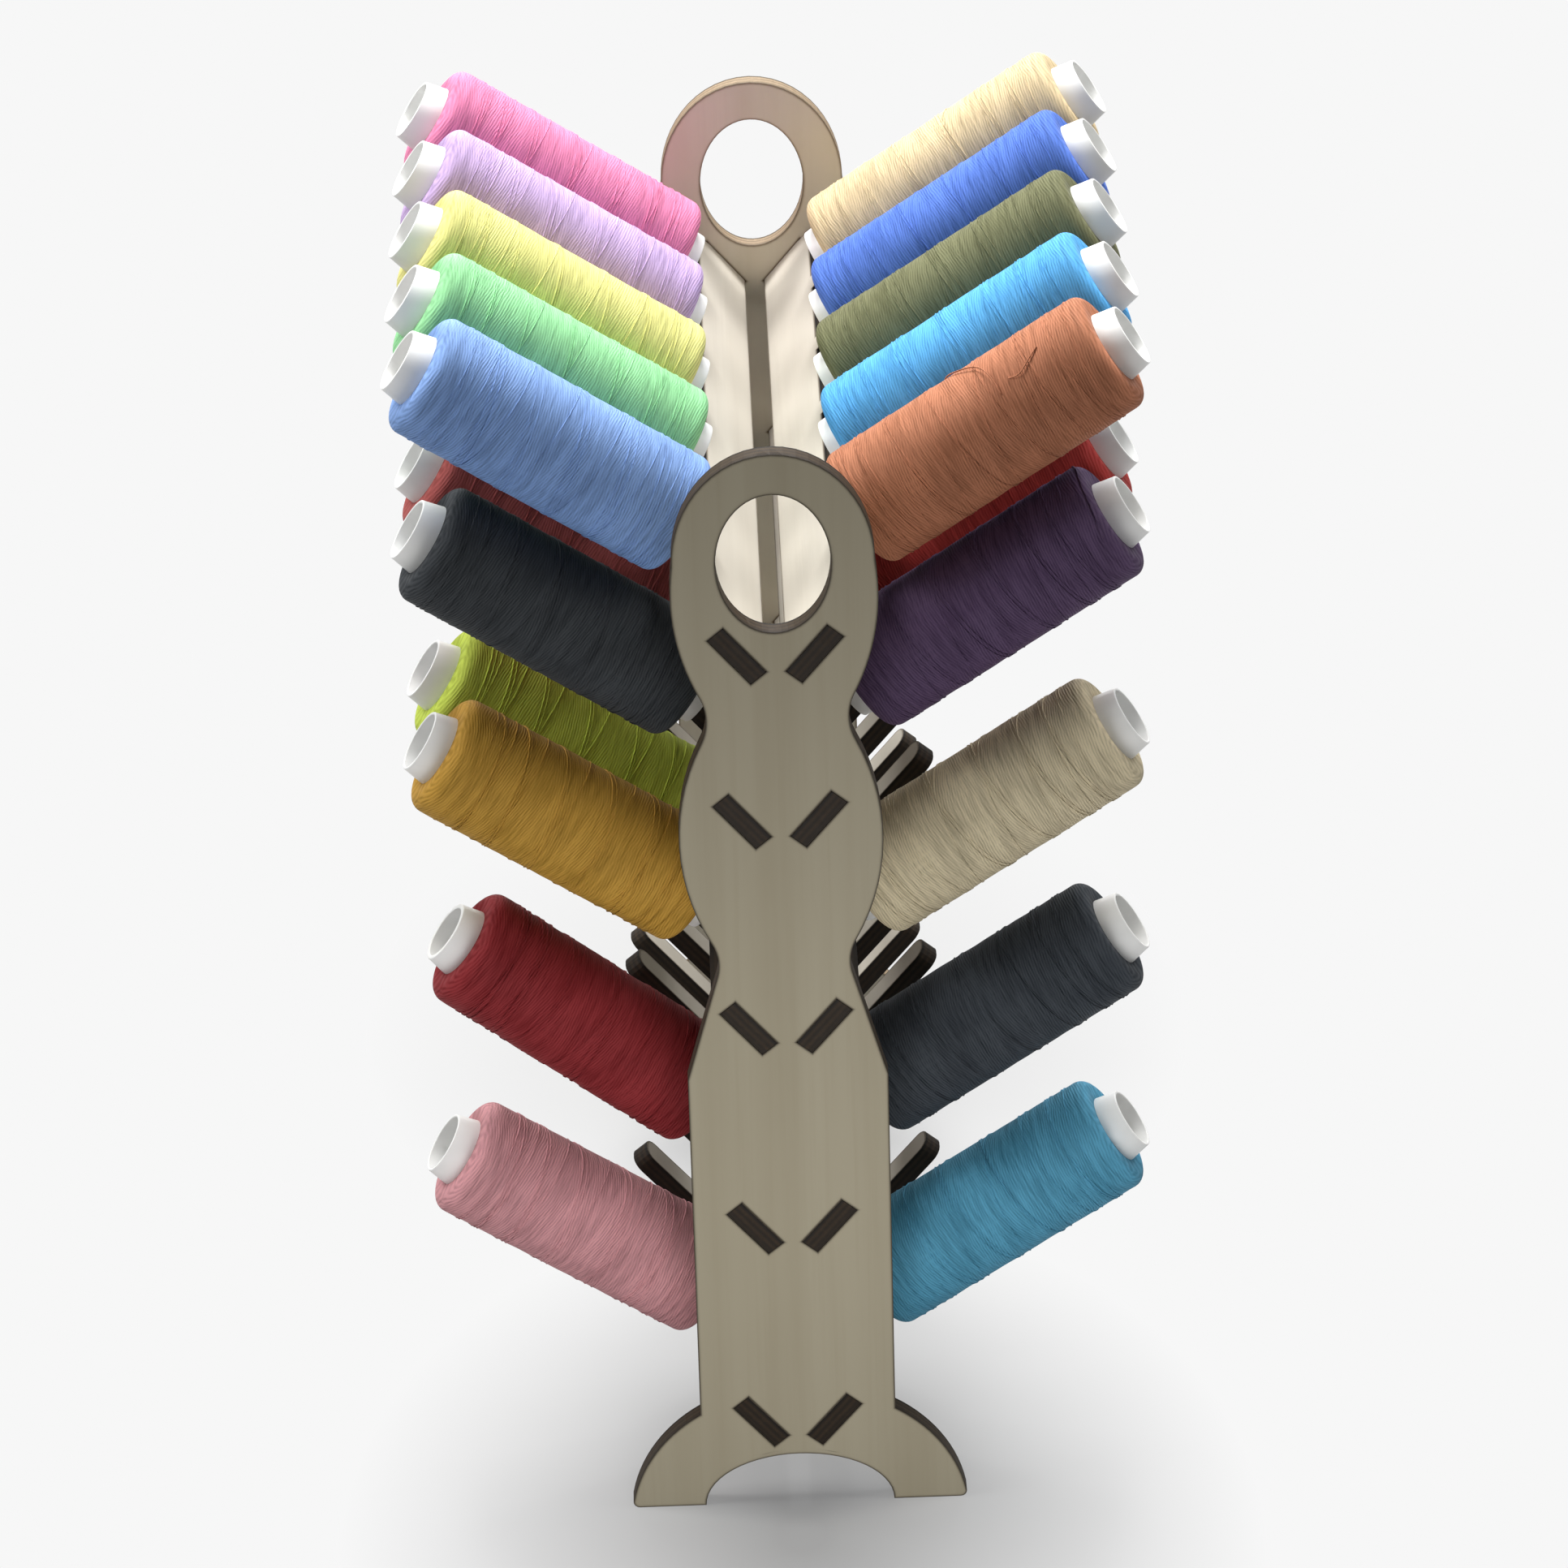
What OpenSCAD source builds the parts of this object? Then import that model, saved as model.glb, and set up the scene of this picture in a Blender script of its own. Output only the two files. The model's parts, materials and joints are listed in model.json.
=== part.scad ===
// Free-standing, double-sided rack for sewing thread, cut from thin plywood.
// Two slotted end panels hold ten comb boards in tilted pairs, five tiers high.
// Each comb has five pegs, and a spool of thread leans on a peg by its own bore.
// Millimetres. +Z is up, the front panel faces -Y, and the origin is on the table under the middle.

/* [Plywood] */
// Thickness of the sheet that every flat piece is cut from
ply_t = 3; // [2.6:0.1:3.4]
// Clearance round a tab in its slot
tab_clearance = 0.05; // [0.03:0.01:0.12]

/* [Rack] */
// Depth over both end panels
rack_depth = 143; // [138:1:165]
// Height from the table to the top of a panel's ring
panel_h = 184.2; // [182:0.2:190]
// Height of the lowest pair of slots above the table
low_tier_z = 15.5; // [15:0.1:16.5]
// Height from one tier to the next, for the four lower tiers
tier_gap = 36; // [35.6:0.1:36.4]
// Height from the fourth tier to the top tier
top_tier_gap = 27.9; // [27:0.1:29]

/* [Panel outline] */
// Width of the ring's hole
hole_w = 17; // [15:0.2:18.4]
// Height of the ring's hole
hole_h = 22.6; // [20:0.2:23.4]
// Width of the wood round the ring's hole
ring_rim = 6.5; // [6:0.1:8]
// Drop from the hole's middle to the ring's widest level
ring_drop = 5.2; // [4:0.1:6.4]
// Radius of the panel's convex sides
side_r = 38; // [36:0.5:42]
// Width of the bulge between the two waists
bulge_w = 30.7; // [29.5:0.1:32]
// Drop from the second tier's slots to the bulge's widest level
bulge_drop = 3.2; // [2:0.1:4.4]
// Radius of the upper waist's hollow
upper_waist_r = 9; // [7:0.5:12]
// Radius of the lower waist's hollow
lower_waist_r = 8; // [6.5:0.5:10]
// Rise from the third tier's slots to the lower waist
lower_waist_rise = 11.3; // [10.4:0.1:12.2]
// Drop from the third tier's slots to the corner where the straight body starts
flare_drop = 8.9; // [7:0.1:11]
// Width of the straight body
body_w = 30.7; // [29.5:0.1:32]
// Height of the shoulder where a foot leaves the body
shoulder_h = 17.2; // [16:0.1:19]
// Width over both feet
foot_w = 53.2; // [50:0.2:60]
// Radius of a foot's outer side
foot_r = 24.2; // [22:0.2:32]
// Radius of a foot's toe
toe_r = 1; // [0.5:0.1:2]
// Width of the arch between the feet
arch_w = 29.8; // [27:0.2:34]
// Height of the arch
arch_h = 9.2; // [7:0.1:9.6]

/* [Comb boards] */
// Angle of every board above the horizontal
board_tilt = 50; // [48:1:53]
// Distance between the middles of a pair of slots
slot_spacing = 11.5; // [11:0.1:12.6]
// Length of a slot
slot_l = 9.7; // [9:0.1:10.2]
// Width of the board's strip outside its tabs
shoulder_w = 2.2; // [1.4:0.1:3]
// Length of a peg
peg_l = 21; // [19:0.5:24]
// Width of a peg
peg_w = 5.2; // [4.8:0.1:5.6]
// Radius of the corners of a peg's tip
peg_tip_r = 2; // [1:0.1:2.3]
// Distance from one peg to the next
peg_pitch = 23.8; // [22:0.2:26]
// Number of pegs on a board
peg_count = 5; // [5:1:5]

/* [Spools] */
// Angle of a leaning spool above the horizontal
spool_tilt = 33.8; // [32:0.2:35]
// Angle of the one spool that leans more steeply
steep_tilt = 38; // [37:0.2:39]
// Length of a spool's plastic tube
tube_l = 52.2; // [50:0.2:56]
// Outside diameter of the tube under the thread
tube_d = 11.2; // [11:0.1:12]
// Diameter of the tube's bore where it takes the peg
bore_d = 10; // [9.6:0.1:10.4]
// Diameter of the bore where the steeper spool takes the peg
steep_bore_d = 9; // [8.8:0.1:9.2]
// Diameter of the bore beyond the peg, up to the free end
tip_bore_d = 9; // [8.4:0.1:9.2]
// Diameter of the bore beyond the peg of the steeper spool
steep_tip_bore_d = 8.4; // [8:0.1:8.6]
// Room between the peg's tip and the step in the bore
peg_room = 2; // [1:0.5:6]
// Outside diameter of the tube's foot, the end on the peg
tube_foot_d = 10.8; // [10.7:0.1:11]
// Outside diameter of the tube's tip, the free end
tube_tip_d = 9.9; // [9.6:0.1:10.4]
// Radius of the edge at the tube's two ends
tube_edge_r = 0.2; // [0.05:0.05:0.2]
// Length of bare tube below the thread, at the foot
foot_bare_l = 2.5; // [1.5:0.1:3.5]
// Length of bare tube beyond the thread, where it narrows to its tip
tip_bare_l = 3.4; // [2.6:0.1:5]
// Diameter of the winding under its outer turns of thread
winding_d = 18.2; // [16:0.2:18.4]
// Radius of the thread's rounded shoulders
winding_shoulder_r = 1.8; // [1:0.2:2.6]
// Clearance between a tube and the thread round it
winding_clearance = 0.05; // [0.03:0.01:0.1]
// Gap left between a tube's bore and the peg that it leans on
lean_gap = 0.3; // [0.2:0.05:0.4]

/* [Outer turns of thread] */
// Diameter of the outer turn of thread
thread_d = 0.45; // [0.3:0.05:0.6]
// Number of outer turns
thread_turns = 4; // [3:1:4]
// Length of thread at each end of the winding that has no outer turn
thread_margin = 4; // [3.5:0.5:8]
// Gap between the outer turns and the winding under them
thread_gap = 0.1; // [0.08:0.01:0.2]

/* [Hidden] */
// Points on a quarter of a small round, and of a large one
SMALL_ROUND = 4;
LARGE_ROUND = 14;
THREAD_SIDES = 3;
THREAD_RINGS = 16;
$fn = 96;

wood = "#B8AE98";
board_wood = "#E6DCC8";
plastic = "#F2F1EE";

// Tiers are numbered from the top, and pegs from the front
tier_z = [for (t = [0:4]) low_tier_z + min(4 - t, 3) * tier_gap + (t == 0 ? top_tier_gap : 0)];
peg_y = [for (p = [0:peg_count - 1]) (p - (peg_count - 1) / 2) * peg_pitch];

// Colour name, side (-1 left, 1 right), tier, peg and colour of each spool, and true for the steeper one
SPOOLS = [
    ["blue", -1, 1, 1, "#8FBCEC"],
    ["green", -1, 1, 2, "#8FE39A"],
    ["yellow", -1, 1, 3, "#F1EE86"],
    ["lilac", -1, 1, 4, "#CFA3E2"],
    ["pink", -1, 1, 5, "#F585BE"],
    ["black", -1, 2, 1, "#2B2D30"],
    ["coral", -1, 2, 2, "#B65A58"],
    ["mustard", -1, 3, 1, "#A87C2A"],
    ["lime", -1, 3, 2, "#A6C63F"],
    ["crimson", -1, 4, 1, "#7E1F24", true],
    ["rose", -1, 5, 1, "#C08F96"],
    ["terracotta", 1, 1, 1, "#B4653F"],
    ["sky_blue", 1, 1, 2, "#4BA3E6"],
    ["olive", 1, 1, 3, "#6E7446"],
    ["royal_blue", 1, 1, 4, "#4467C4"],
    ["tan", 1, 1, 5, "#CBB185"],
    ["purple", 1, 2, 1, "#4B3454"],
    ["red", 1, 2, 2, "#B4342F"],
    ["cream", 1, 3, 1, "#C9C2A4"],
    ["charcoal", 1, 4, 1, "#2E343B"],
    ["teal", 1, 5, 1, "#4D93AE"],
];
SIDES = [["left", -1], ["right", 1]];

function arc(centre, r, from, to, n) =
    [for (i = [0:n]) let (a = from + (to - from) * i / n) centre + r * [cos(a), sin(a)]];

function direction(v) = atan2(v[1], v[0]);

// The point at distance ra from a and rb from b, on the right-hand side of the line from a to b
function meet(a, ra, b, rb) =
    let (d = b - a, l = norm(d), t = (ra * ra - rb * rb + l * l) / (2 * l), h = sqrt(ra * ra - t * t))
    a + d * t / l + [d[1], -d[0]] * h / l;

// Panel outline, right half, as seen from the front: arcs joined where they touch
hole_z = panel_h - ring_rim - hole_h / 2;
ring_side_c = [hole_w / 2 + ring_rim - sqrt(side_r * side_r - ring_drop * ring_drop), hole_z - ring_drop];
bulge_c = [bulge_w / 2 - side_r, tier_z[1] - bulge_drop];
upper_waist_c = meet(bulge_c, side_r + upper_waist_r, ring_side_c, side_r + upper_waist_r);
lower_waist_z = tier_z[2] + lower_waist_rise;
lower_waist_reach = side_r + lower_waist_r;
lower_waist_c = [
    bulge_c[0] + sqrt(pow(lower_waist_reach, 2) - pow(bulge_c[1] - lower_waist_z, 2)),
    lower_waist_z
];
flare_corner = [body_w / 2, tier_z[2] - flare_drop];
flare_v = lower_waist_c - flare_corner;
flare_end_a = direction(flare_v) + asin(lower_waist_r / norm(flare_v)) + 90;
shoulder = [body_w / 2, shoulder_h];
foot_c = meet(shoulder, foot_r, [foot_w / 2, 0], foot_r);
toe_c = [foot_c[0] + sqrt(foot_r * foot_r - pow(toe_r - foot_c[1], 2)) - toe_r, toe_r];

arch = [for (i = [0:LARGE_ROUND]) let (a = 90 - 90 * i / LARGE_ROUND) [arch_w / 2 * cos(a), arch_h * sin(a)]];
toe = arc(toe_c, toe_r, -90, 0, SMALL_ROUND);
foot_side = arc(
    foot_c, foot_r,
    direction([toe_c[0] + toe_r, toe_r + 0.2] - foot_c),
    direction(shoulder - foot_c), LARGE_ROUND
);
lower_waist = arc(
    lower_waist_c, lower_waist_r, flare_end_a, 180 + direction(lower_waist_c - bulge_c), LARGE_ROUND
);
bulge = arc(
    bulge_c, side_r, direction(lower_waist_c - bulge_c), direction(upper_waist_c - bulge_c), LARGE_ROUND
);
upper_waist = arc(
    upper_waist_c, upper_waist_r,
    360 + direction(bulge_c - upper_waist_c), direction(ring_side_c - upper_waist_c), LARGE_ROUND
);
ring_side = arc(
    ring_side_c, side_r, direction(upper_waist_c - ring_side_c), asin(ring_drop / side_r), LARGE_ROUND
);
// The top of the ring keeps its distance from the hole's ellipse
ring_top = [
    for (i = [1:LARGE_ROUND])
    let (a = 90 * i / LARGE_ROUND, n = [cos(a) * hole_h, sin(a) * hole_w])
    [hole_w / 2 * cos(a), hole_z + hole_h / 2 * sin(a)] + ring_rim * n / norm(n)
];
half_outline = concat(
    arch, toe, foot_side, [flare_corner], lower_waist, bulge, upper_waist, ring_side, ring_top
);
outline = concat(
    half_outline,
    [for (i = [len(half_outline) - 2:-1:1]) [-half_outline[i][0], half_outline[i][1]]]
);
hole = [for (i = [0:4 * LARGE_ROUND - 1]) let (a = 90 * i / LARGE_ROUND)
    [hole_w / 2 * cos(a), hole_z + hole_h / 2 * sin(a)]];

module panel() {
    rotate([90, 0, 0])
    linear_extrude(ply_t)
    difference() {
        polygon(outline);
        polygon(hole);
        for (side = [-1, 1]) for (z = tier_z)
            translate([side * slot_spacing / 2, z])
            rotate(side * board_tilt)
            square([slot_l, ply_t + 2 * tab_clearance], center = true);
    }
}

module front_panel() {
    color(wood) translate([0, ply_t - rack_depth / 2, 0]) panel();
}

module rear_panel() {
    color(wood) translate([0, rack_depth / 2, 0]) panel();
}

// Comb outline: x runs up the board from the middle of its slots, y along the rack
tab_w = slot_l - 2 * tab_clearance;
root_u = tab_w / 2 + shoulder_w;
tip_u = root_u + peg_l;
between = rack_depth / 2 - ply_t;

function peg_outline(y) = concat(
    [[root_u, y - peg_w / 2]],
    arc([tip_u - peg_tip_r, y - peg_w / 2 + peg_tip_r], peg_tip_r, -90, 0, SMALL_ROUND),
    arc([tip_u - peg_tip_r, y + peg_w / 2 - peg_tip_r], peg_tip_r, 0, 90, SMALL_ROUND),
    [[root_u, y + peg_w / 2]]
);

comb_outline = concat(
    [[-tab_w / 2, -rack_depth / 2], [tab_w / 2, -rack_depth / 2], [tab_w / 2, -between], [root_u, -between]],
    [for (y = peg_y) each peg_outline(y)],
    [[root_u, between], [tab_w / 2, between], [tab_w / 2, rack_depth / 2], [-tab_w / 2, rack_depth / 2]]
);

// Mirrors its children to the left side and lifts them to a tier's slots
module at_side(side, tier) {
    mirror([side < 0 ? 1 : 0, 0, 0])
    translate([slot_spacing / 2, 0, tier_z[tier - 1]])
    children();
}

module comb(side, tier) {
    color(board_wood)
    at_side(side, tier)
    rotate([0, -board_tilt, 0])
    translate([0, 0, -ply_t / 2])
    linear_extrude(ply_t)
    polygon(comb_outline);
}

// A spool leans until its bore meets the peg's tip above and the peg's underside at the bore's mouth.
// The lean leaves this half height inside the bore, beside the peg's edges.
function bore(s) = s[5] ? steep_bore_d : bore_d;
function tip_bore(s) = s[5] ? steep_tip_bore_d : tip_bore_d;
function lean(s) = board_tilt - (s[5] ? steep_tilt : spool_tilt);
function bore_half(s) = sqrt(pow(bore(s) / 2, 2) - pow(peg_w / 2, 2)) - lean_gap;
function mouth_rise(s) = bore_half(s) * cos(lean(s)) - ply_t / 2;
function mouth_u(s) = tip_u - bore_half(s) * sin(lean(s)) - 2 * mouth_rise(s) / tan(lean(s));
// The peg goes this far up the bore
function peg_reach(s) = (tip_u - mouth_u(s)) * cos(lean(s)) + (mouth_rise(s) + ply_t / 2) * sin(lean(s));

// Children are turned about +Z, with the bore's lower mouth at z = 0
module on_peg(s) {
    at_side(s[1], s[2])
    translate([0, peg_y[s[3] - 1], 0])
    rotate([0, -board_tilt, 0])
    translate([mouth_u(s), 0, mouth_rise(s)])
    rotate([0, 90 + lean(s), 0])
    children();
}

// The bore narrows at a step beyond the peg's tip
function step_z(s) = peg_reach(s) + peg_room;

function tube_profile(s) = concat(
    [[bore(s) / 2, 0]],
    arc([tube_foot_d / 2 - tube_edge_r, tube_edge_r], tube_edge_r, -90, 0, SMALL_ROUND),
    [[tube_d / 2, foot_bare_l], [tube_d / 2, tube_l - tip_bare_l]],
    arc([tube_tip_d / 2 - tube_edge_r, tube_l - tube_edge_r], tube_edge_r, 0, 90, SMALL_ROUND),
    [for (x = [[tip_bore(s), tube_l], [tip_bore(s), step_z(s)], [bore(s), step_z(s)]]) [x[0] / 2, x[1]]]
);

module tube(s) {
    color(plastic)
    on_peg(s)
    rotate_extrude() polygon(tube_profile(s));
}

winding_r = winding_d / 2;
winding_l = tube_l - foot_bare_l - tip_bare_l;
winding_in_r = tube_d / 2 + winding_clearance;
winding_profile = concat(
    [[winding_in_r, 0]],
    arc([winding_r - winding_shoulder_r, winding_shoulder_r], winding_shoulder_r, -90, 0, SMALL_ROUND),
    arc([winding_r - winding_shoulder_r, winding_l - winding_shoulder_r], winding_shoulder_r, 0, 90, SMALL_ROUND),
    [[winding_in_r, winding_l]]
);

// The outer turns are one unbroken strand with flat stretches, so its rings stand clear by their sag
thread_in_r = (winding_r + thread_gap) / cos(180 / THREAD_RINGS);
thread_r = thread_in_r + thread_d / 4;
thread_steps = thread_turns * THREAD_RINGS;
thread_pitch = (winding_l - 2 * thread_margin) / thread_turns;
function thread_z(i) = thread_margin + thread_pitch * i / THREAD_RINGS;
function thread_a(i) = 360 * i / THREAD_RINGS;
thread_points = [
    for (i = [0:thread_steps]) for (k = [0:THREAD_SIDES - 1])
    let (a = 360 * k / THREAD_SIDES, r = thread_r + thread_d / 2 * cos(a))
    [r * cos(thread_a(i)), r * sin(thread_a(i)), thread_z(i) + thread_d / 2 * sin(a)]
];
thread_faces = concat(
    [[for (k = [0:THREAD_SIDES - 1]) k]],
    [
        for (i = [0:thread_steps - 1]) for (k = [0:THREAD_SIDES - 1])
        let (a = i * THREAD_SIDES + k, b = i * THREAD_SIDES + (k + 1) % THREAD_SIDES)
        each [[a, a + THREAD_SIDES, b], [b, a + THREAD_SIDES, b + THREAD_SIDES]]
    ],
    [[for (k = [THREAD_SIDES - 1:-1:0]) thread_steps * THREAD_SIDES + k]]
);

// Least gap of the strand to itself, between points at least half a turn apart
function thread_mid(i) = [thread_r * cos(thread_a(i)), thread_r * sin(thread_a(i)), thread_z(i)];
thread_self_gap = min([
    for (i = [0:thread_steps]) for (j = [i + THREAD_RINGS / 2:1:thread_steps])
    norm(thread_mid(i) - thread_mid(j)) - thread_d
]);
echo(thread_self_gap = thread_self_gap);

module thread(s) {
    color(s[4])
    on_peg(s)
    translate([0, 0, foot_bare_l]) {
        rotate_extrude() polygon(winding_profile);
        polyhedron(thread_points, thread_faces);
    }
}

front_panel();
rear_panel();
for (s = SIDES) for (t = [1:5])
    comb(s[1], t);
for (s = SPOOLS)
    tube(s);
for (s = SPOOLS)
    thread(s);
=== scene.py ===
# %% [markdown]
# # A two-sided thread rack
#
# The real rack is laser-cut from 3 mm plywood. Two end panels carry ten comb boards in tilted
# pairs, and small spools of sewing thread lean on the combs' pegs. This lesson dresses the packed
# CAD model: the frame gives every size and place, and each cell here adds one piece or finish.

# %% Load the frame
import json
import random
from math import cos, hypot, pi, radians, sin

import bmesh
import bpy
from mathutils import Matrix, Vector

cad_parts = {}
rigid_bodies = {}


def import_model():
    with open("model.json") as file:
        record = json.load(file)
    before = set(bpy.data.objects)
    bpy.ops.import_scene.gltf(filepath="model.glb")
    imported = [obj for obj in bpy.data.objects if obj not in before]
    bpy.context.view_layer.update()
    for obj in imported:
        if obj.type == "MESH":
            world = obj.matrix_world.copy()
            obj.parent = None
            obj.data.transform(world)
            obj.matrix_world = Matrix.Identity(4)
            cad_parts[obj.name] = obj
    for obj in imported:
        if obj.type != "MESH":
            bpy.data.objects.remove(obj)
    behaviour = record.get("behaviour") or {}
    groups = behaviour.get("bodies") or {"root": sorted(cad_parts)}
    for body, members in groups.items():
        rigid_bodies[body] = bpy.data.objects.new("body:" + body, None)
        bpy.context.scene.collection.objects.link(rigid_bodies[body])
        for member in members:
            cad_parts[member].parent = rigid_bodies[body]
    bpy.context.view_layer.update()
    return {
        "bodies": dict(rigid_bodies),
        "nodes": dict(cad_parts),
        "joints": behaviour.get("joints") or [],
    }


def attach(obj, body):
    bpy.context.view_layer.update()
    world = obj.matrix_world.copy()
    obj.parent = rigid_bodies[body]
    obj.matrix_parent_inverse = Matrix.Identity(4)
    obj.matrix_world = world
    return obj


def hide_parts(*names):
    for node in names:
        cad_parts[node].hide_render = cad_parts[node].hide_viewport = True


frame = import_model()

MM = 0.001

# %% [markdown]
# ## The camera
#
# The photograph looks down on the rack from the front with a long lens. A camera can be placed by
# eye, or solved from points whose real places are known. The slots, rings, feet and peg tips gave
# the numbers here, so the render and the photograph lie on each other.

# %% Place the camera
PITCH, YAW, ROLL = 0.500194977, 0.0128902545, -0.0289574499  # radians
DISTANCE = 985.478 * MM
AIM = Vector((0.665, -71.5, 129.705)) * MM
FOCAL_IN_FRAMES = 8141.556 / 1932  # both in pixels of the photograph
SENSOR_WIDTH = 36

forward = Vector((sin(YAW) * cos(PITCH), cos(YAW) * cos(PITCH), -sin(PITCH)))
level = Vector((cos(YAW), -sin(YAW), 0))
upright = level.cross(forward)
right = level * cos(ROLL) + upright * sin(ROLL)
up = upright * cos(ROLL) - level * sin(ROLL)

lens = bpy.data.cameras.new("camera")
lens.sensor_width = SENSOR_WIDTH
lens.lens = FOCAL_IN_FRAMES * SENSOR_WIDTH
lens.clip_start, lens.clip_end = 0.01, 50
camera = bpy.data.objects.new("camera", lens)
turn = Matrix((right, up, -forward)).transposed().to_4x4()
camera.matrix_world = Matrix.Translation(AIM - forward * DISTANCE) @ turn
bpy.context.scene.collection.objects.link(camera)
bpy.context.scene.camera = camera
print("camera at", [round(c, 3) for c in camera.matrix_world.translation])
print("lens", round(lens.lens, 1))

# %% [markdown]
# ## Writing materials as sums
#
# A material here is a graph of nodes. Drawing it by hand is quick for one, but slow to repeat, and
# long chains of Math nodes are hard to read. So a small class wraps a socket and lets Python's own
# operators add the Math nodes, and one method makes every other node.

# %% A socket that takes Python's operators
class Value:
    def __init__(self, finish, socket):
        self.finish, self.socket = finish, socket

    def math(self, operation, *values):
        return self.finish.node("ShaderNodeMath", {"operation": operation}, dict(enumerate(values)))

    def __add__(self, other):
        return self.math("ADD", self, other)

    def __radd__(self, other):
        return self.math("ADD", other, self)

    def __sub__(self, other):
        return self.math("SUBTRACT", self, other)

    def __rsub__(self, other):
        return self.math("SUBTRACT", other, self)

    def __mul__(self, other):
        return self.math("MULTIPLY", self, other)

    def __rmul__(self, other):
        return self.math("MULTIPLY", other, self)

    def __truediv__(self, other):
        return self.math("DIVIDE", self, other)

    def __abs__(self):
        return self.math("ABSOLUTE", self)

    def clamp(self):
        return self.math("MINIMUM", self.math("MAXIMUM", self, 0.0), 1.0)

    def step(self, low, high):
        """Rises from 0 at low to 1 at high."""
        return ((self - low) / (high - low)).clamp()

    def wave(self):
        """Swings between 0 and 1, once for each whole number."""
        return self.math("SINE", self * (2 * pi)) * 0.5 + 0.5


print("a socket now takes + - * / and abs")


# %% A finish, which is one material and its nodes
class Finish:
    def __init__(self, name):
        self.material = bpy.data.materials.new(name)
        self.material.use_nodes = True
        self.tree = self.material.node_tree
        self.tree.nodes.clear()

    def node(self, kind, settings=None, sockets=None, out=0):
        made = self.tree.nodes.new(kind)
        for key, value in (settings or {}).items():
            setattr(made, key, value)
        for key, value in (sockets or {}).items():
            if isinstance(value, Value):
                self.tree.links.new(value.socket, made.inputs[key])
            else:
                made.inputs[key].default_value = value
        return Value(self, made.outputs[out])

    def object_place(self):
        return self.node("ShaderNodeTexCoord", out="Object")

    def parts(self, vector):
        return [self.node("ShaderNodeSeparateXYZ", sockets={0: vector}, out=i) for i in range(3)]

    def attribute(self, name):
        return self.node("ShaderNodeAttribute", {"attribute_name": name}, out="Fac")

    def noise(self, place, scale, stretch=(1, 1, 1), detail=3.0, roughness=0.5):
        """Noise with scale waves to a metre, closer along the axes where stretch is larger."""
        times = {"operation": "MULTIPLY"}
        place = self.node("ShaderNodeVectorMath", times, {0: place, 1: stretch})
        sockets = {"Vector": place, "Scale": scale, "Detail": detail, "Roughness": roughness}
        return self.node("ShaderNodeTexNoise", sockets=sockets, out="Fac")

    def blend(self, factor, a, b):
        """The Mix node's inputs 6 and 7 and its output 2 are the ones for colours."""
        sockets = {"Factor": factor, 6: a, 7: b}
        return self.node("ShaderNodeMix", {"data_type": "RGBA"}, sockets, out=2)

    def bump(self, height, distance, strength):
        sockets = {"Height": height, "Distance": distance, "Strength": strength}
        return self.node("ShaderNodeBump", sockets=sockets)

    def end(self, **sockets):
        named = {key.replace("_", " "): value for key, value in sockets.items()}
        self.node_out(self.node("ShaderNodeBsdfPrincipled", sockets=named))
        return self.material

    def node_out(self, surface):
        made = self.tree.nodes.new("ShaderNodeOutputMaterial")
        self.tree.links.new(surface.socket, made.inputs["Surface"])


def rgb(code):
    """A colour as Blender holds it, from the code that a paint program shows."""
    coded = [int(code[i:i + 2], 16) / 255 for i in (0, 2, 4)]
    linear = [c / 12.92 if c <= 0.04045 else ((c + 0.055) / 1.055) ** 2.4 for c in coded]
    return (*linear, 1.0)


print("a mid grey is", [round(c, 3) for c in rgb("808080")])

# %% [markdown]
# ## Plywood
#
# The faces are pale veneer with fine lines of grain, and the laser has burnt every cut edge dark
# brown and stained a hair's breadth of the face beside it. A picture could paint that, but here
# the pieces carry four numbers on their points: how burnt a point is, how deep it lies in the
# sheet, whether it is on a cut edge, and a seed for the board. The finish reads them, so the burn
# follows every cut.

# %% The plywood finish
GRAIN_ACROSS, GRAIN_ALONG = 900.0, 20.0  # waves of noise to a metre
BROAD_GRAIN = 6  # times as wide as the fine grain
CLOUD, SPECKLE = 45.0, 1500.0  # waves to a metre
LAYERS = 3.0  # of veneer in the sheet
CHAR = "0E0B08"  # the rims of a cut edge, where the laser went in and came out
GRAIN_DEPTH = 0.08 * MM


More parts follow.
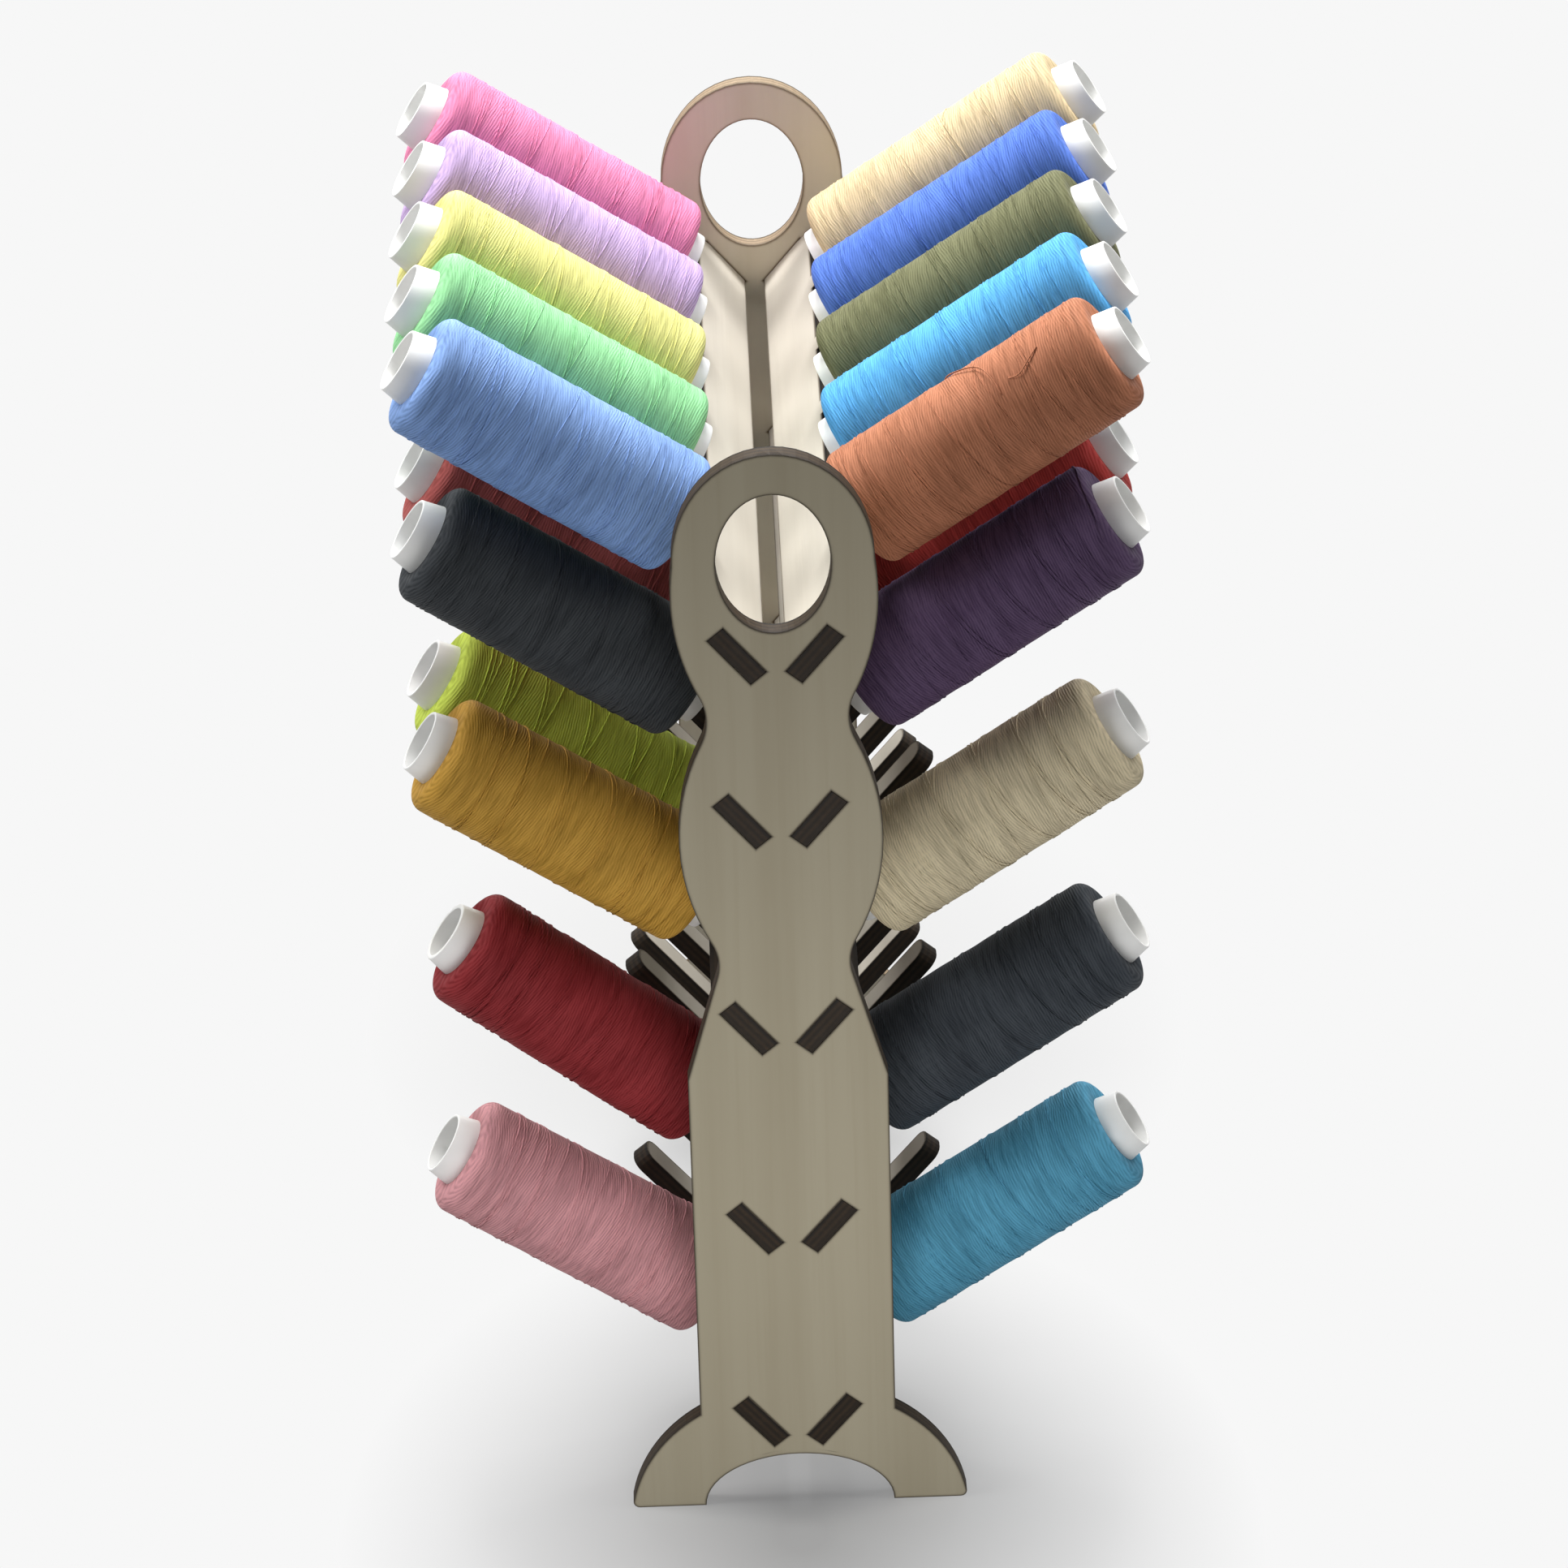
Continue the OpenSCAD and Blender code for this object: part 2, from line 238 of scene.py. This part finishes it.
def plywood(name, veneer, darker, grain_axis, scorched, burnt, singed):
    f = Finish(name)
    place = f.object_place()
    seed = f.attribute("seed")
    offset = f.node("ShaderNodeCombineXYZ", sockets={0: seed, 1: seed * 1.7, 2: seed * 2.3})
    place = f.node("ShaderNodeVectorMath", {"operation": "ADD"}, {0: place, 1: offset})
    stretch = [GRAIN_ACROSS] * 3
    stretch[grain_axis] = GRAIN_ALONG
    fine = f.noise(place, 1.0, stretch, 4.0, 0.6)
    broad = f.noise(place, 1.0, [s / BROAD_GRAIN for s in stretch], 2.0, 0.5)
    cloud = f.noise(place, CLOUD, (1, 1, 1), 2.0, 0.5)
    face = f.blend(broad.step(0.35, 0.7) * 0.7, rgb(veneer), rgb(darker))
    face = f.blend(fine.step(0.5, 0.75) * 0.35, face, rgb(darker))
    face = f.blend(cloud.step(0.3, 0.7) * 0.25, face, rgb(veneer))

    burn = f.attribute("burn")
    halo = (burn - 0.12 * cloud).step(0.05, 1.0)
    stain = halo * halo * 0.45 + halo.step(0.50, 0.85) * 0.50
    face = f.blend(stain, face, rgb(scorched))

    depth = f.attribute("depth")
    speckle = f.noise(place, SPECKLE, (1, 1, 1), 3.0, 0.6)
    layer = (depth * LAYERS + 0.08 * speckle).wave()
    edge = f.blend(layer * 0.5 + speckle.step(0.5, 0.8) * 0.35, rgb(burnt), rgb(singed))
    edge = f.blend(abs(depth - 0.5).step(0.30, 0.46) * 0.8, edge, rgb(CHAR))
    is_edge = f.attribute("edge").step(0.4, 0.6)
    return f.end(
        Base_Color=f.blend(is_edge, face, edge),
        Roughness=0.62 + 0.12 * fine,
        Specular_IOR_Level=0.2,
        Normal=f.bump(fine * 0.6 + broad * 0.4, GRAIN_DEPTH, 0.6),
    )


Y, Z = 1, 2  # the axis that the grain follows
# The colours are the veneer, its darker grain, the scorched face beside a cut, and the cut edge's
# burnt and singed layers. The front panel's colours are darkened as painted shade on its face, and
# the rear panel's are lightened as painted light on its face toward the middle.
front_ply_painted_shade = plywood("front_plywood_painted_shade", "A59D88", "978E78", Z, "332A20", "2E251B", "4A3C2B")
rear_ply_painted_light = plywood("rear_plywood_painted_light", "D4CDBB", "C8BFAA", Z, "7E6C54", "7A6A55", "A8937A")
board_ply = plywood("board_plywood", "C0BAAE", "B5AEA2", Y, "54483A", "1F1811", "382B1D")
print("plywood", front_ply_painted_shade.name, rear_ply_painted_light.name, board_ply.name)

# %% [markdown]
# ## Cutting the plywood pieces
#
# The frame already holds every flat piece in its true shape. Its edges are mathematically sharp,
# though, and real ones catch a thread of light. So each piece is copied, the edges of its faces are
# rounded a little, and a narrow band is set in along every cut for the laser's stain.

# %% Copy a flat piece and work its edges
ROUND = 0.10 * MM
STAIN = 0.75 * MM
WELD = 0.002 * MM


def work_edges(node, through, seed):
    """Copies a flat CAD piece, rounds its arrises and marks burn, depth and edge on its points."""
    mesh = frame["nodes"][node].data.copy()
    bm = bmesh.new()
    bm.from_mesh(mesh)
    layers = {n: bm.verts.layers.float.new(n) for n in ("burn", "depth", "edge", "seed")}
    bmesh.ops.remove_doubles(bm, verts=bm.verts, dist=WELD)
    bmesh.ops.recalc_face_normals(bm, faces=bm.faces)

    def is_flat(face, least):
        return abs(face.normal.dot(through)) > least

    flat = [f for f in bm.faces if is_flat(f, 0.9)]
    rim = {e for f in flat for e in f.edges if not all(is_flat(g, 0.9) for g in e.link_faces)}
    bmesh.ops.bevel(
        bm, geom=list(rim), offset=ROUND, segments=1, affect="EDGES", clamp_overlap=True
    )
    flat = [f for f in bm.faces if is_flat(f, 0.98)]
    bm.verts.index_update()
    inset = bmesh.ops.inset_region(
        bm, faces=flat, thickness=STAIN, use_even_offset=True, use_boundary=True
    )
    ring = set(inset["faces"])
    inner = {v for f in bm.faces if is_flat(f, 0.98) and f not in ring for v in f.verts}
    spans = [v.co.dot(through) for v in bm.verts]
    low, high = min(spans), max(spans)
    for v in bm.verts:
        v[layers["burn"]] = 0.0 if v in inner else 1.0
        v[layers["depth"]] = (v.co.dot(through) - low) / (high - low)
        v[layers["edge"]] = 0.0 if any(is_flat(f, 0.98) for f in v.link_faces) else 1.0
        v[layers["seed"]] = seed
    bm.to_mesh(mesh)
    bm.free()
    return mesh


def dress(node, name, mesh, finish):
    """Shows a worked mesh in place of a CAD piece."""
    mesh.materials.clear()
    mesh.materials.append(finish)
    piece = bpy.data.objects.new(name, mesh)
    bpy.context.scene.collection.objects.link(piece)
    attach(piece, "rack")
    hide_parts(node)


print("rounds of", round(ROUND / MM, 2), "mm and a stain of", round(STAIN / MM, 2), "mm")

# %% The two end panels
# The front panel gets the plywood darkened as painted shade, and the rear panel gets it lightened
# as painted light.
for end, ply, seed in (("front", front_ply_painted_shade, 0.0), ("rear", rear_ply_painted_light, 0.37)):
    mesh = work_edges(f"{end}_panel", Vector((0, 1, 0)), seed)
    dress(f"{end}_panel", f"{end}_panel_plywood", mesh, ply)
    print(end, "panel", len(mesh.polygons), "faces")

# %% The ten comb boards
TILT = radians(50)
TIERS = 5
for side, hand in (("left", -1), ("right", 1)):
    through = Vector((-hand * sin(TILT), 0, cos(TILT)))
    for tier in range(1, TIERS + 1):
        node = f"{side}_comb_{tier}"
        mesh = work_edges(node, through, 0.11 * tier + 0.05 * hand)
        dress(node, f"{node}_plywood", mesh, board_ply)
print("comb boards", 2 * TIERS)

# %% [markdown]
# ## The spools' tubes
#
# Each spool is wound on a white plastic tube, moulded thin enough to let light through. Its ends
# draw in a little and their edges are rounded. A lathe makes it: a half outline turned about the
# axis, which is quicker and smoother than bevelling a cylinder. The frame gives each spool's axis.

# %% Where each spool lies, and its measures
COLOURS = [name.removesuffix("_spool") for name in frame["bodies"] if name.endswith("_spool")]
spins = {joint["name"]: joint for joint in frame["joints"]}


def place_of(colour):
    """The matrix that puts +Z along a spool's axis, from the mouth of its bore on the peg."""
    joint = spins[f"{colour}_spin"]
    axis = Vector(joint["axis"]).normalized()
    sideways = Vector((0, 1, 0))
    across = sideways.cross(axis).normalized()
    turn = Matrix((across, sideways, axis)).transposed().to_4x4()
    return Matrix.Translation(Vector(joint["pos_m"])) @ turn


def measures(node, place):
    """Where a CAD piece starts and ends along the axis, and its largest radius."""
    back = place.inverted()
    points = [back @ v.co for v in frame["nodes"][node].data.vertices]
    return min(p.z for p in points), max(p.z for p in points), max(hypot(p.x, p.y) for p in points)


first = place_of(COLOURS[0])
tube_start, tube_end, tube_r = measures(f"{COLOURS[0]}_tube", first)
wound_start, wound_end, wound_r = measures(f"{COLOURS[0]}_thread", first)
print("tube", [round(v / MM, 2) for v in (tube_start, tube_end, tube_r)])
print("winding", [round(v / MM, 2) for v in (wound_start, wound_end, wound_r)])


# %% A lathe
def band(i, j, sides):
    """The faces between rings i and j of a mesh that is made of rings."""
    return [
        (i * sides + k, i * sides + (k + 1) % sides, j * sides + (k + 1) % sides, j * sides + k)
        for k in range(sides)
    ]


def lathe(outline, sides):
    """Turns a closed outline of (radius, height) points about Z."""
    angles = [2 * pi * k / sides for k in range(sides)]
    verts = [(r * cos(a), r * sin(a), z) for r, z in outline for a in angles]
    rings = len(outline)
    return verts, [face for i in range(rings) for face in band(i, (i + 1) % rings, sides)]


def shown(name, verts, faces, finish):
    """A smooth mesh with a finish, linked to the scene."""
    mesh = bpy.data.meshes.new(name)
    mesh.from_pydata(verts, [], faces)
    mesh.materials.append(finish)
    mesh.polygons.foreach_set("use_smooth", [True] * len(mesh.polygons))
    piece = bpy.data.objects.new(name, mesh)
    bpy.context.scene.collection.objects.link(piece)
    return piece


def dress_spool(colour, piece, node):
    """Lays a turned piece on its spool's axis and shows it in place of a CAD piece."""
    piece.matrix_world = place_of(colour)
    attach(piece, f"{colour}_spool")
    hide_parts(node)


print("the faces between two rings of 4 points", band(0, 1, 4))


# %% The plastic finish
def plastic():
    f = Finish("tube_plastic")
    flow = f.noise(f.object_place(), 220.0, (1, 1, 0.25), 2.0, 0.5)
    return f.end(
        Base_Color=f.blend(flow.step(0.3, 0.7) * 0.6, rgb("F3F3F1"), rgb("E8E8E5")),
        Roughness=0.34 + 0.10 * flow,
        Subsurface_Weight=0.12,
        Subsurface_Radius=(0.002, 0.002, 0.002),
        Normal=f.bump(flow, 0.03 * MM, 0.4),
    )


tube_plastic = plastic()
print("plastic", tube_plastic.name)

# %% Turn the tubes
BORE_R, TIP_BORE_R = 5.0 * MM, 4.5 * MM
NARROW_BORE_R, NARROW_TIP_BORE_R = 4.5 * MM, 4.2 * MM  # the crimson spool's
STEP = 19.6 * MM  # how far in the bore narrows
FOOT_R, TIP_R = 5.4 * MM, 4.95 * MM
EDGE = 0.12 * MM
EDGE_MID = EDGE * 0.3  # about where a rounded edge's middle lies
WAIST = 0.02 * MM
TUBE_SIDES = 64


def tube_outline(bore_r, tip_bore_r):
    """A tube's wall, from the foot of its bore round to the narrower bore at the tip."""
    return [
        (bore_r, tube_start + EDGE),
        (bore_r + EDGE_MID, tube_start + EDGE_MID),
        (bore_r + EDGE, tube_start),
        (FOOT_R - EDGE, tube_start),
        (FOOT_R - EDGE_MID, tube_start + EDGE_MID),
        (FOOT_R, tube_start + EDGE),
        (tube_r, wound_start),
        (tube_r, wound_end),
        ((tube_r + TIP_R) / 2 - WAIST, (wound_end + tube_end) / 2),
        (TIP_R, tube_end - EDGE),
        (TIP_R - EDGE_MID, tube_end - EDGE_MID),
        (TIP_R - EDGE, tube_end),
        (tip_bore_r + EDGE * 0.5, tube_end),
        (tip_bore_r, tube_end - EDGE),
        (tip_bore_r, STEP),
        (bore_r, STEP - EDGE),
    ]


for colour in COLOURS:
    bores = (NARROW_BORE_R, NARROW_TIP_BORE_R) if colour == "crimson" else (BORE_R, TIP_BORE_R)
    tube = shown(f"{colour}_tube_plastic", *lathe(tube_outline(*bores), TUBE_SIDES), tube_plastic)
    dress_spool(colour, tube, f"{colour}_tube")
print("tubes", len(COLOURS), "of", len(tube.data.polygons), "faces")

# %% [markdown]
# ## The windings
#
# Sewing thread is laid on in a slow spiral that runs back and forth, so its top layers cross at a
# slant. Modelling every turn would take millions of faces. Here the imported mass is a lathed body
# with rounded shoulders and slight unevenness. Its fine turns are a bump that follows the spiral,
# with a painted highlight on their crests and painted shade in the gaps between them. The last
# passes over it are one real, unbroken strand that stands proud. On two spools an end has come
# loose, and lies over the turns in a curve.

# %% The thread finish
LINE_SPACING = 0.42 * MM
LINES_PER_TURN = 24  # how many threads side by side make up the slant
WANDER, FIBRE = 260.0, 3800.0  # waves of noise to a metre
PATCH, SHOW = 90.0, 140.0  # where the slant turns over, and where the turns stand out
STREAK = (160, 160, 2600)
THREAD_DEPTH = 0.07 * MM
# Each turn's crest is painted lighter as a highlight, and the gap beside it darker as shade. The
# streaks and fibres that use the same two colours are the thread's own tone.
LIGHTER_TONE_AND_CREST_HIGHLIGHT, DARKER_TONE_AND_GAP_SHADE = 1.15, 0.60  # a turn's crest and the gap beside it, as shares of the colour


def thread_finish(name, code):
    f = Finish(name)
    place = f.object_place()
    x, y, z = f.parts(place)
    angle = f.node("ShaderNodeMath", {"operation": "ARCTAN2"}, {0: y, 1: x}) / (2 * pi)
    wander = f.noise(place, WANDER, (1, 1, 1), 2.0, 0.5)
    run = z / LINE_SPACING + 1.6 * wander
    there = (run + angle * LINES_PER_TURN).wave()
    back = (run - angle * LINES_PER_TURN).wave()
    patch = f.noise(place, PATCH, (1, 1, 1.6), 1.0, 0.5).step(0.44, 0.56)
    lines = there * patch + back * (1 - patch)
    streaks = f.noise(place, 1.0, STREAK, 3.0, 0.55)
    show = f.noise(place, SHOW, (1, 1, 1), 2.0, 0.5).step(0.35, 0.65)
    fibre = f.noise(place, FIBRE, (1, 1, 1), 2.0, 0.6)
    relief = 0.25 + 0.75 * show
    # The lines paint a highlight on each crest and shade in each gap. The streaks and fibres vary
    # the thread's own colour.
    base = rgb(code)[:3]
    light = (*(min(1.0, c * LIGHTER_TONE_AND_CREST_HIGHLIGHT + 0.02) for c in base), 1.0)
    dark = (*(c * DARKER_TONE_AND_GAP_SHADE for c in base), 1.0)
    tone_and_groove_shade = lines * 0.40 * relief + streaks * 1.1 + fibre * 0.15
    return f.end(
        Base_Color=f.blend(tone_and_groove_shade.step(0.42, 0.95), dark, light),
        Roughness=0.62 + 0.15 * (1 - lines),
        Specular_IOR_Level=0.12,
        Sheen_Weight=0.07,
        Sheen_Roughness=0.4,
        Sheen_Tint=(*(0.2 + 0.8 * c for c in base), 1.0),
        Normal=f.bump(lines * relief + 0.7 * streaks + 0.2 * fibre, THREAD_DEPTH, 0.8),
    )


print("lines", round(LINE_SPACING / MM, 2), "mm apart,", LINES_PER_TURN, "to a turn")

# %% Wind the body of a spool
PROUD = 0.22 * MM  # how far the body lies inside the CAD winding, as room for the strand
SHOULDER = 1.9 * MM
SHOULDER_STEPS = 8
BODY_STEPS = 40


def shoulder(core_r, height, start):
    """A quarter of a circle that begins at the angle start."""
    angles = [start + pi / 2 * i / SHOULDER_STEPS for i in range(SHOULDER_STEPS + 1)]
    return [(core_r - SHOULDER + SHOULDER * cos(a), height + SHOULDER * sin(a)) for a in angles]


def wound_outline(rng, unevenness):
    """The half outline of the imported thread, with shoulders that round over to the tube."""
    core_r = wound_r - PROUD
    inner = tube_r + 0.02 * MM
    low, high = wound_start + SHOULDER, wound_end - SHOULDER
    swell = [rng.uniform(-unevenness, unevenness) for _ in range(BODY_STEPS + 1)]
    points = [(inner, wound_start + 0.10 * MM)] + shoulder(core_r, low, -pi / 2)
    for i in range(1, BODY_STEPS):
        smooth = (swell[i - 1] + 2 * swell[i] + swell[i + 1]) / 4
        points.append((core_r + smooth, low + (high - low) * i / BODY_STEPS))
    points += shoulder(core_r, high, 0) + [(inner, wound_end - 0.10 * MM)]
    return points, core_r


print("a winding's body has a radius of", round((wound_r - PROUD) / MM, 2), "mm")

# %% Lay the last passes as one strand
STRAND_R = 0.12 * MM
STRAND_SIDES = 5
PASSES, TURNS, STEPS_PER_TURN = 3, 7, 28
MARGIN = 2.6 * MM  # between a pass and the end of the winding
STRAY = 2  # mm by which a pass may end early


def strand_path(rng, core_r):
    """Points of an unbroken strand that runs up and down the winding, each pass over the last."""
    low, high = wound_start + MARGIN, wound_end - MARGIN
    points, angle, start = [], rng.uniform(0, 2 * pi), low
    steps = TURNS * STEPS_PER_TURN
    for n in range(PASSES):
        stray = rng.uniform(0, STRAY) * MM
        goal = high - stray if n % 2 == 0 else low + stray
        radius = core_r + STRAND_R * (0.25 + 0.15 * n / PASSES)
        for i in range(steps):
            t = i / steps
            ease = t - 0.5 * sin(2 * pi * t) / (2 * pi)
            height = start + (goal - start) * ease
            points.append(Vector((radius * cos(angle), radius * sin(angle), height)))
            angle += 2 * pi / STEPS_PER_TURN
        start = goal
    return points


def sweep(points, radius, sides):
    """A tube along points, whose ends are drawn to a point so that they close."""
    verts, faces = [], []
    for i, p in enumerate(points):
        along = (points[min(i + 1, len(points) - 1)] - points[max(i - 1, 0)]).normalized()
        out = Vector((p.x, p.y, 0)).normalized()
        side = along.cross(out).normalized()
        out = side.cross(along)
        r = radius if 0 < i < len(points) - 1 else radius * 0.05
        for k in range(sides):
            a = 2 * pi * k / sides
            verts.append(p + out * (r * cos(a)) + side * (r * sin(a)))
    for i in range(len(points) - 1):
        faces += band(i, i + 1, sides)
    faces.append(tuple(range(sides))[::-1])
    faces.append(tuple(len(verts) - sides + k for k in range(sides)))
    return verts, faces


print("a strand of", PASSES * TURNS, "turns in", PASSES, "passes")

# %% Lay the ends that have come loose
LOOSE_ENDS = {
    "terracotta": [
        [(24.5, 150, 0.1), (26.6, 167, 0.3), (30.7, 188, 0.45), (32.3, 208, 0.4), (32.6, 230, 0.1)],
        [(40.6, 207, 0.1), (38.9, 214, 0.3), (36.5, 222, 0.4), (34.5, 219, 0.1)],
    ],
    "purple": [
        [(47.2, 150, 0.1), (48.2, 170, 0.2), (48.4, 205, 0.2), (48.2, 240, 0.2), (47.2, 262, 0.1)],
    ],
}
LOOSE_STEPS = 14


def loose_path(stops, outline):
    """A curve through stops of height in mm, angle in degrees and lift off the winding in mm."""
    radii, heights = zip(*outline)

    def on_winding(height, angle, lift):
        above = next(i for i in range(1, len(heights)) if heights[i] >= height)
        share = (height - heights[above - 1]) / (heights[above] - heights[above - 1])
        radius = radii[above - 1] + share * (radii[above] - radii[above - 1]) + lift
        return Vector((radius * cos(angle), radius * sin(angle), height))

    def between(p, q, r, s, t):
        """A curve that passes through each stop: it runs from q to r, and p and s set its slope."""
        return q + t * (r - p + t * (2 * p - 5 * q + 4 * r - s + t * (3 * q - p - 3 * r + s))) / 2

    ends = [stops[0]] + stops + [stops[-1]]
    points = []
    for four in zip(ends, ends[1:], ends[2:], ends[3:]):
        for i in range(LOOSE_STEPS):
            height, angle, lift = (between(*values, i / LOOSE_STEPS) for values in zip(*four))
            points.append(on_winding(height * MM, radians(angle), lift * MM))
    return points


print("loose ends on", list(LOOSE_ENDS))

# %% Dress every spool in its own colour
THREAD_COLOURS = {
    "blue": "7B9CD2", "green": "8CCD91", "yellow": "D8D383", "lilac": "BDA2CE", "pink": "DE80A6",
    "black": "2D3135", "coral": "A8504C", "mustard": "B88C32", "lime": "C0D250",
    "crimson": "831A20", "rose": "CC9196",
    "terracotta": "A86B4C", "sky_blue": "4F9ED6", "olive": "646545", "royal_blue": "4A6DC0",
    "tan": "CBB68F", "purple": "4E3959", "red": "A8302B", "cream": "CBBE9F",
    "charcoal": "2F353C", "teal": "4F97B6",
}
UNEVEN, VERY_UNEVEN = 0.07 * MM, 0.16 * MM
BODY_SIDES = 72
FIRST_SEED = 40


def winding_mesh(rng, colour):
    """The body, its strand and its loose ends, as one set of points and faces."""
    outline, core_r = wound_outline(rng, VERY_UNEVEN if colour == "crimson" else UNEVEN)
    verts, faces = lathe(outline, BODY_SIDES)
    paths = [strand_path(rng, core_r)]
    paths += [loose_path(stops, outline) for stops in LOOSE_ENDS.get(colour, [])]
    for path in paths:
        more, bands = sweep(path, STRAND_R, STRAND_SIDES)
        faces += [tuple(i + len(verts) for i in face) for face in bands]
        verts += more
    return verts, faces


for index, colour in enumerate(COLOURS):
    finish = thread_finish(f"{colour}_thread", THREAD_COLOURS[colour])
    verts, faces = winding_mesh(random.Random(FIRST_SEED + index), colour)
    winding = shown(f"{colour}_winding", verts, faces, finish)
    dress_spool(colour, winding, f"{colour}_thread")
print("windings", len(COLOURS), "of", len(faces), "faces")

# %% [markdown]
# ## Floor and light
#
# The photograph is a studio shot on a white sweep: light from above and a little behind, and a soft
# shadow under the feet. A floor that is bright enough to look white would also throw light up at
# the rack. So the floor looks white only to the rays that the camera, gloss and glass send, and is
# dark grey to the rays that carry light between surfaces. Beside the feet it stays a plain surface,
# which takes the shadow, and further out it turns to an even white.

# %% The floor
FLOOR_SIZE = 16
SHADE, WHITE, BOUNCE = 0.34, 0.93, 0.20
HALF_DEPTH = 0.08  # from the middle to just past the feet, in metres
NEAR, FAR = 0.005, 0.095  # where the surface begins to turn white, and where it has
LEAST_WHITE_AS_PAINTED_LIGHT = 0.05


def floor_finish():
    f = Finish("floor")
    rays = ("Is Camera Ray", "Is Glossy Ray", "Is Transmission Ray")
    camera_ray, glossy_ray, clear_ray = (f.node("ShaderNodeLightPath", out=ray) for ray in rays)
    seen = (camera_ray + glossy_ray + clear_ray).clamp()
    x, y, _ = f.parts(f.object_place())
    beside = abs(y) - HALF_DEPTH
    squares = 1.7 * (x * x) + beside * beside
    away = f.node("ShaderNodeMath", {"operation": "SQRT"}, {0: squares})
    # The white glow comes in with distance from the lines of the feet. Under and beside the rack it
    # lightens the rack's shadow, and its least share lies over the shadow at the feet too: painted
    # light.
    white_and_painted_light = LEAST_WHITE_AS_PAINTED_LIGHT + (1 - LEAST_WHITE_AS_PAINTED_LIGHT) * away.step(NEAR, FAR)
    shade = f.node("ShaderNodeBsdfDiffuse", sockets={"Color": (SHADE, SHADE, SHADE, 1)})
    glow = {"Color": (WHITE, WHITE, WHITE, 1), "Strength": 1.0}
    white = f.node("ShaderNodeEmission", sockets=glow)
    view = f.node("ShaderNodeMixShader", sockets={0: white_and_painted_light, 1: shade, 2: white})
    bounce = f.node("ShaderNodeBsdfDiffuse", sockets={"Color": (BOUNCE, BOUNCE, BOUNCE, 1)})
    f.node_out(f.node("ShaderNodeMixShader", sockets={0: seen, 1: bounce, 2: view}))
    return f.material


bpy.ops.mesh.primitive_plane_add(size=FLOOR_SIZE)
floor = bpy.context.object
floor.name = "floor"
floor.data.materials.append(floor_finish())
print("floor", FLOOR_SIZE, "m wide")

# %% [markdown]
# ## The lamps
#
# One strong lamp overhead shapes the spools, as in the photograph, and two at the sides open up
# their ends. A weak one behind and one in front keep the far sides and the front panel readable,
# and a small, low card of light lifts the lower edge of the front panel.

# %% The world and the lamps
WORLD_LIGHT = 0.07
MIDDLE, LOW = (0, 0, 0.1), (0, 0, 0.04)
LAMPS = [  # name, place and aim in metres, size in metres, watts
    ("overhead", (0.0, 0.50, 1.05), MIDDLE, 0.4, 20.5),
    ("back", (0.0, 0.80, 0.35), MIDDLE, 0.8, 3.5),
    ("front", (0.0, -0.90, 0.90), MIDDLE, 0.6, 0.8),
    ("card", (0.0, -0.23, 0.05), LOW, 0.10, 0.17),
    ("left side", (-0.75, 0.0, 0.75), MIDDLE, 0.5, 7),
    ("right side", (0.75, 0.0, 0.75), MIDDLE, 0.5, 4),
]
world = bpy.data.worlds.new("studio")
bpy.context.scene.world = world
world.use_nodes = True
sky = world.node_tree.nodes["Background"]
sky.inputs["Color"].default_value = (1.0, 1.0, 1.0, 1)
sky.inputs["Strength"].default_value = WORLD_LIGHT

for name, place, aim, size, watts in LAMPS:
    light = bpy.data.lights.new(name, "AREA")
    light.shape, light.size, light.energy = "SQUARE", size, watts
    lamp = bpy.data.objects.new(name, light)
    lamp.location = place
    lamp.rotation_euler = (Vector(aim) - Vector(place)).to_track_quat("-Z", "Y").to_euler()
    bpy.context.scene.collection.objects.link(lamp)
print("lamps", [name for name, *_ in LAMPS])

# %% [markdown]
# ## Finish
#
# The view transform stays at Standard, so a colour shows as it was mixed.

# %% Finish with the view transform
bpy.context.scene.view_settings.view_transform = "Standard"
